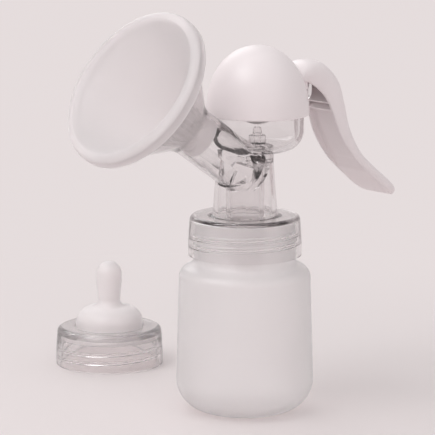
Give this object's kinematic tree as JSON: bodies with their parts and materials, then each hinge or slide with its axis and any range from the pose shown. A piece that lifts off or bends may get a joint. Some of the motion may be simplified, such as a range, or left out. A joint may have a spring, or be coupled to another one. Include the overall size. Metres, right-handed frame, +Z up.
{
  "type": "manual breast pump",
  "caption": "Hand-squeezed breast pump: clear body with cushioned funnel, domed diaphragm and white lever on a screw-neck bottle, with a spare teat in its ring.",
  "frame": {"origin": "centre of the bottle's base on the table", "axes": "+Z up, along the bottle's axis; -X towards the funnel, +X towards the lever"},
  "size_m": [0.1901, 0.1892, 0.2009],
  "materials": {
    "bottle_plastic": "satin",
    "clear_plastic": "polished",
    "ring_plastic": "polished",
    "white_plastic": "satin",
    "silicone": "matte"
  },
  "bodies": {
    "bottle": {"bottle": "bottle_plastic"},
    "head": {"pump_body": "clear_plastic", "duckbill_valve": "silicone", "massage_cushion": "silicone", "diaphragm": "silicone", "dome_cover": "white_plastic"},
    "lever": {"handle": "white_plastic"},
    "plunger": {"plunger": "white_plastic"},
    "teat_set": {"teat_ring": "ring_plastic", "teat": "silicone"}
  },
  "joints": [
    {"name": "head_turn", "type": "hinge", "parent": "bottle", "child": "head", "pos_m": [0, 0, 0.088], "axis": [0, 0, 1], "range_deg": [0, 450]},
    {"name": "lever_squeeze", "type": "hinge", "parent": "head", "child": "lever", "pos_m": [0.0382, 0, 0.1643], "axis": [0, 1, 0], "range_deg": [0, 16], "stiffness_Nm_per_rad": 1},
    {"name": "plunger_lift", "type": "slide", "parent": "head", "child": "plunger", "axis": [0, 0, 1], "range_m": [0, 0.0086], "deforming": ["diaphragm"]},
    {"name": "teat_lift", "type": "slide", "parent": "bottle", "child": "teat_set", "axis": [0, 0, 1], "range_m": [0, 0.05]}
  ],
  "couplings": [
    {"joint": "plunger_lift", "follows": "lever_squeeze", "m_per_rad": 0.030398}
  ]
}
